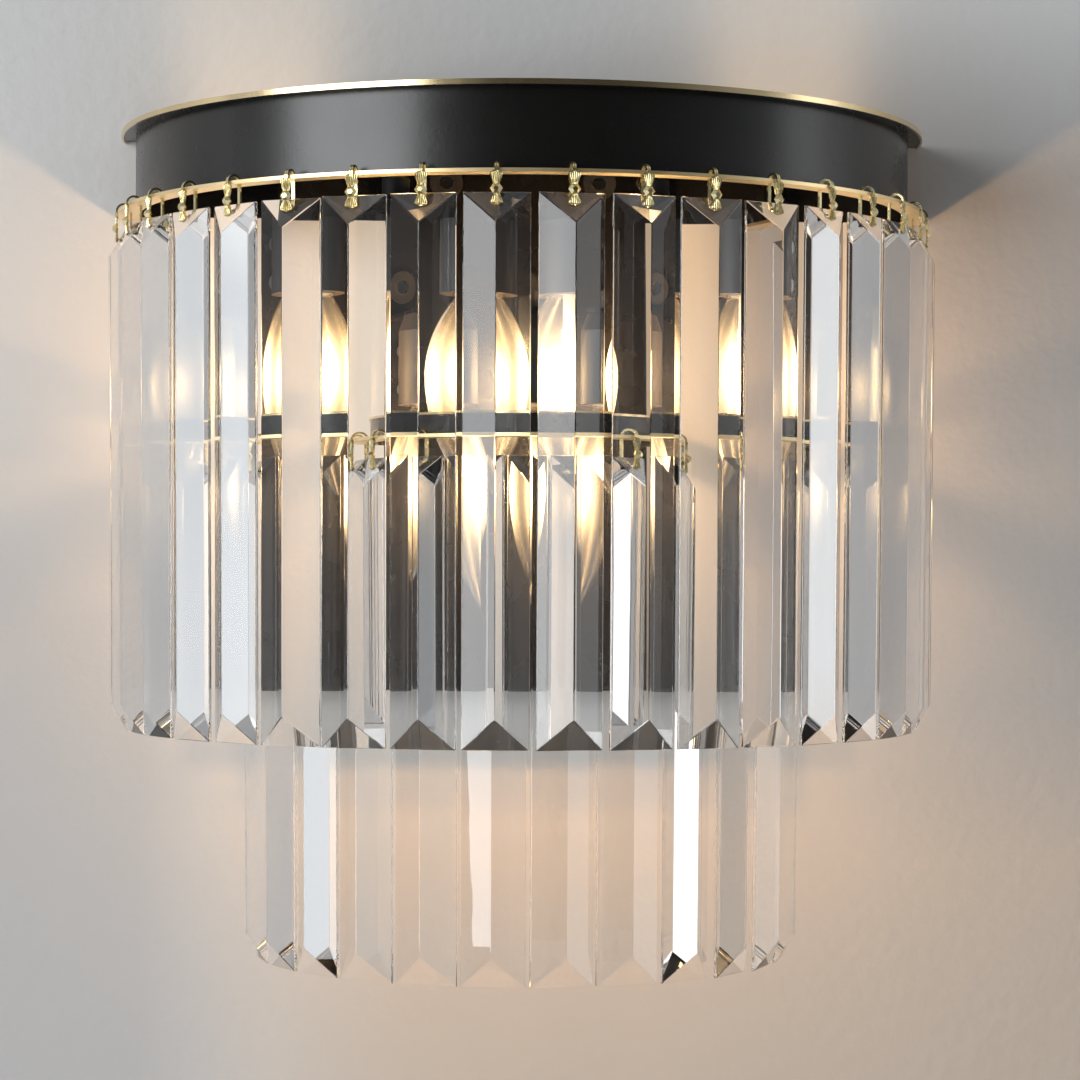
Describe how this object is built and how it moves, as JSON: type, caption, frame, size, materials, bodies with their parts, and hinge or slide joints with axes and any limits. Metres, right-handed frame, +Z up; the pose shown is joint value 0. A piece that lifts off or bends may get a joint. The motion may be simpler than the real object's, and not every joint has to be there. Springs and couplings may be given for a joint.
{
  "type": "wall light",
  "caption": "Half-round two-tier wall light: hanging clear prisms on brass clips round candle lamps, under a black canopy.",
  "frame": {"origin": "middle of the wall bracket, on the wall", "axes": "+Z up, +Y into the wall, +X to the right as seen from the room; the light stands out towards -Y"},
  "size_m": [0.2986, 0.1508, 0.2995],
  "materials": {
    "black_metal": "satin black lacquer",
    "bulb_cap": "bright",
    "bulb_glass": "clear",
    "crystal": "clear, fire polished",
    "filament": "lit",
    "grommet_rubber": "matt",
    "holder_plastic": "matt black",
    "polished_brass": "polished, pale gold",
    "terminal_plastic": "natural",
    "zinc_steel": "zinc plated"
  },
  "bodies": {
    "fixture": {"back_plate": "black_metal", "bracket_studs": "zinc_steel", "bulb_caps": "bulb_cap", "bulb_filaments": "filament", "bulb_glass_centre": "bulb_glass", "bulb_glass_left": "bulb_glass", "bulb_glass_right": "bulb_glass", "cable_grommets": "grommet_rubber", "canopy_band": "black_metal", "canopy_rear_wall": "black_metal", "canopy_screws": "zinc_steel", "canopy_top": "black_metal", "dome_nuts": "polished_brass", "earth_screw": "zinc_steel", "lamp_bracket_centre": "black_metal", "lamp_bracket_left": "black_metal", "lamp_bracket_right": "black_metal", "lamp_holder_centre": "holder_plastic", "lamp_holder_left": "holder_plastic", "lamp_holder_right": "holder_plastic", "lower_band": "black_metal", "lower_band_trim": "polished_brass", "lower_rear_bar": "black_metal", "lower_ring": "polished_brass", "plate_screws": "zinc_steel", "terminal_block": "terminal_plastic", "top_rim_trim": "polished_brass", "upper_ring": "polished_brass", "wall_bracket": "zinc_steel"},
    "upper_pendant_01": {"upper_pendant_01": "crystal"},
    "upper_pendant_02": {"upper_pendant_02": "crystal"},
    "upper_pendant_03": {"upper_pendant_03": "crystal"},
    "upper_pendant_04": {"upper_pendant_04": "crystal"},
    "upper_pendant_05": {"upper_pendant_05": "crystal"},
    "upper_pendant_06": {"upper_pendant_06": "crystal"},
    "upper_pendant_07": {"upper_pendant_07": "crystal"},
    "upper_pendant_08": {"upper_pendant_08": "crystal"},
    "upper_pendant_09": {"upper_pendant_09": "crystal"},
    "upper_pendant_10": {"upper_pendant_10": "crystal"},
    "upper_pendant_11": {"upper_pendant_11": "crystal"},
    "upper_pendant_12": {"upper_pendant_12": "crystal"},
    "upper_pendant_13": {"upper_pendant_13": "crystal"},
    "upper_pendant_14": {"upper_pendant_14": "crystal"},
    "upper_pendant_15": {"upper_pendant_15": "crystal"},
    "upper_pendant_16": {"upper_pendant_16": "crystal"},
    "upper_pendant_17": {"upper_pendant_17": "crystal"},
    "upper_pendant_18": {"upper_pendant_18": "crystal"},
    "lower_pendant_01": {"lower_pendant_01": "crystal"},
    "lower_pendant_02": {"lower_pendant_02": "crystal"},
    "lower_pendant_03": {"lower_pendant_03": "crystal"},
    "lower_pendant_04": {"lower_pendant_04": "crystal"},
    "lower_pendant_05": {"lower_pendant_05": "crystal"},
    "lower_pendant_06": {"lower_pendant_06": "crystal"},
    "lower_pendant_07": {"lower_pendant_07": "crystal"},
    "lower_pendant_08": {"lower_pendant_08": "crystal"},
    "lower_pendant_09": {"lower_pendant_09": "crystal"},
    "lower_pendant_10": {"lower_pendant_10": "crystal"},
    "lower_pendant_11": {"lower_pendant_11": "crystal"},
    "lower_pendant_12": {"lower_pendant_12": "crystal"}
  },
  "joints": [
    {"name": "upper_pendant_01_swing", "type": "hinge", "parent": "fixture", "child": "upper_pendant_01", "pos_m": [-0.1443, -0.02408, -0.0126], "axis": [-0.1646, 0.9864, 0], "range_deg": [-1.5, 60]},
    {"name": "upper_pendant_02_swing", "type": "hinge", "parent": "fixture", "child": "upper_pendant_02", "pos_m": [-0.13837, -0.0475, -0.0126], "axis": [-0.3247, 0.9458, 0], "range_deg": [-1.5, 60]},
    {"name": "upper_pendant_03_swing", "type": "hinge", "parent": "fixture", "child": "upper_pendant_03", "pos_m": [-0.12867, -0.06963, -0.0126], "axis": [-0.4759, 0.8795, 0], "range_deg": [-1.5, 60]},
    {"name": "upper_pendant_04_swing", "type": "hinge", "parent": "fixture", "child": "upper_pendant_04", "pos_m": [-0.11545, -0.08986, -0.0126], "axis": [-0.6142, 0.7891, 0], "range_deg": [-1.5, 60]},
    {"name": "upper_pendant_05_swing", "type": "hinge", "parent": "fixture", "child": "upper_pendant_05", "pos_m": [-0.09924, -0.10748, -0.0126], "axis": [-0.6739, 0.7388, 0], "range_deg": [-1.5, 60]},
    {"name": "upper_pendant_06_swing", "type": "hinge", "parent": "fixture", "child": "upper_pendant_06", "pos_m": [-0.07971, -0.12265, -0.0126], "axis": [-0.9051, 0.4251, 0], "range_deg": [-1.5, 60]},
    {"name": "upper_pendant_07_swing", "type": "hinge", "parent": "fixture", "child": "upper_pendant_07", "pos_m": [-0.05848, -0.13408, -0.0126], "axis": [-0.9579, 0.2871, 0], "range_deg": [-1.5, 60]},
    {"name": "upper_pendant_08_swing", "type": "hinge", "parent": "fixture", "child": "upper_pendant_08", "pos_m": [-0.03591, -0.14182, -0.0126], "axis": [-0.9694, 0.2455, 0], "range_deg": [-1.5, 60]},
    {"name": "upper_pendant_09_swing", "type": "hinge", "parent": "fixture", "child": "upper_pendant_09", "pos_m": [-0.01208, -0.1458, -0.0126], "axis": [-0.9966, 0.0826, 0], "range_deg": [-1.5, 60]},
    {"name": "upper_pendant_10_swing", "type": "hinge", "parent": "fixture", "child": "upper_pendant_10", "pos_m": [0.01235, -0.14576, -0.0126], "axis": [-0.9825, -0.1863, 0], "range_deg": [-1.5, 60]},
    {"name": "upper_pendant_11_swing", "type": "hinge", "parent": "fixture", "child": "upper_pendant_11", "pos_m": [0.03613, -0.14176, -0.0126], "axis": [-0.9443, -0.329, 0], "range_deg": [-1.5, 60]},
    {"name": "upper_pendant_12_swing", "type": "hinge", "parent": "fixture", "child": "upper_pendant_12", "pos_m": [0.05864, -0.13403, -0.0126], "axis": [-0.9355, -0.3532, 0], "range_deg": [-1.5, 60]},
    {"name": "upper_pendant_13_swing", "type": "hinge", "parent": "fixture", "child": "upper_pendant_13", "pos_m": [0.07994, -0.12252, -0.0126], "axis": [-0.8557, -0.5174, 0], "range_deg": [-1.5, 60]},
    {"name": "upper_pendant_14_swing", "type": "hinge", "parent": "fixture", "child": "upper_pendant_14", "pos_m": [0.09927, -0.10744, -0.0126], "axis": [-0.6609, -0.7505, 0], "range_deg": [-1.5, 60]},
    {"name": "upper_pendant_15_swing", "type": "hinge", "parent": "fixture", "child": "upper_pendant_15", "pos_m": [0.11545, -0.08986, -0.0126], "axis": [-0.6142, -0.7891, 0], "range_deg": [-1.5, 60]},
    {"name": "upper_pendant_16_swing", "type": "hinge", "parent": "fixture", "child": "upper_pendant_16", "pos_m": [0.12867, -0.06963, -0.0126], "axis": [-0.4759, -0.8795, 0], "range_deg": [-1.5, 60]},
    {"name": "upper_pendant_17_swing", "type": "hinge", "parent": "fixture", "child": "upper_pendant_17", "pos_m": [0.13837, -0.0475, -0.0126], "axis": [-0.3247, -0.9458, 0], "range_deg": [-1.5, 60]},
    {"name": "upper_pendant_18_swing", "type": "hinge", "parent": "fixture", "child": "upper_pendant_18", "pos_m": [0.1443, -0.02408, -0.0126], "axis": [-0.1646, -0.9864, 0], "range_deg": [-1.5, 60]},
    {"name": "lower_pendant_01_swing", "type": "hinge", "parent": "fixture", "child": "lower_pendant_01", "pos_m": [-0.09542, -0.02352, -0.0955], "axis": [-0.2393, 0.9709, 0], "range_deg": [-0.9, 15]},
    {"name": "lower_pendant_02_swing", "type": "hinge", "parent": "fixture", "child": "lower_pendant_02", "pos_m": [-0.08702, -0.04567, -0.0955], "axis": [-0.4647, 0.8855, 0], "range_deg": [-0.9, 15]},
    {"name": "lower_pendant_03_swing", "type": "hinge", "parent": "fixture", "child": "lower_pendant_03", "pos_m": [-0.07356, -0.06517, -0.0955], "axis": [-0.6631, 0.7485, 0], "range_deg": [-0.9, 15]},
    {"name": "lower_pendant_04_swing", "type": "hinge", "parent": "fixture", "child": "lower_pendant_04", "pos_m": [-0.05583, -0.08088, -0.0955], "axis": [-0.823, 0.5681, 0], "range_deg": [-0.9, 15]},
    {"name": "lower_pendant_05_swing", "type": "hinge", "parent": "fixture", "child": "lower_pendant_05", "pos_m": [-0.03485, -0.09189, -0.0955], "axis": [-0.935, 0.3546, 0], "range_deg": [-0.9, 15]},
    {"name": "lower_pendant_06_swing", "type": "hinge", "parent": "fixture", "child": "lower_pendant_06", "pos_m": [-0.01185, -0.09756, -0.0955], "axis": [-0.9927, 0.1205, 0], "range_deg": [-0.9, 15]},
    {"name": "lower_pendant_07_swing", "type": "hinge", "parent": "fixture", "child": "lower_pendant_07", "pos_m": [0.01211, -0.09752, -0.0955], "axis": [-0.9747, -0.2236, 0], "range_deg": [-0.9, 15]},
    {"name": "lower_pendant_08_swing", "type": "hinge", "parent": "fixture", "child": "lower_pendant_08", "pos_m": [0.03464, -0.09196, -0.0955], "axis": [-0.9624, -0.2718, 0], "range_deg": [-0.9, 15]},
    {"name": "lower_pendant_09_swing", "type": "hinge", "parent": "fixture", "child": "lower_pendant_09", "pos_m": [0.05607, -0.08069, -0.0955], "axis": [-0.7476, -0.6641, 0], "range_deg": [-0.9, 15]},
    {"name": "lower_pendant_10_swing", "type": "hinge", "parent": "fixture", "child": "lower_pendant_10", "pos_m": [0.07378, -0.06489, -0.0955], "axis": [-0.5525, -0.8335, 0], "range_deg": [-0.9, 15]},
    {"name": "lower_pendant_11_swing", "type": "hinge", "parent": "fixture", "child": "lower_pendant_11", "pos_m": [0.08713, -0.04543, -0.0955], "axis": [-0.3696, -0.9292, 0], "range_deg": [-0.9, 15]},
    {"name": "lower_pendant_12_swing", "type": "hinge", "parent": "fixture", "child": "lower_pendant_12", "pos_m": [0.09542, -0.02352, -0.0955], "axis": [-0.2393, -0.9709, 0], "range_deg": [-0.9, 15]}
  ]
}
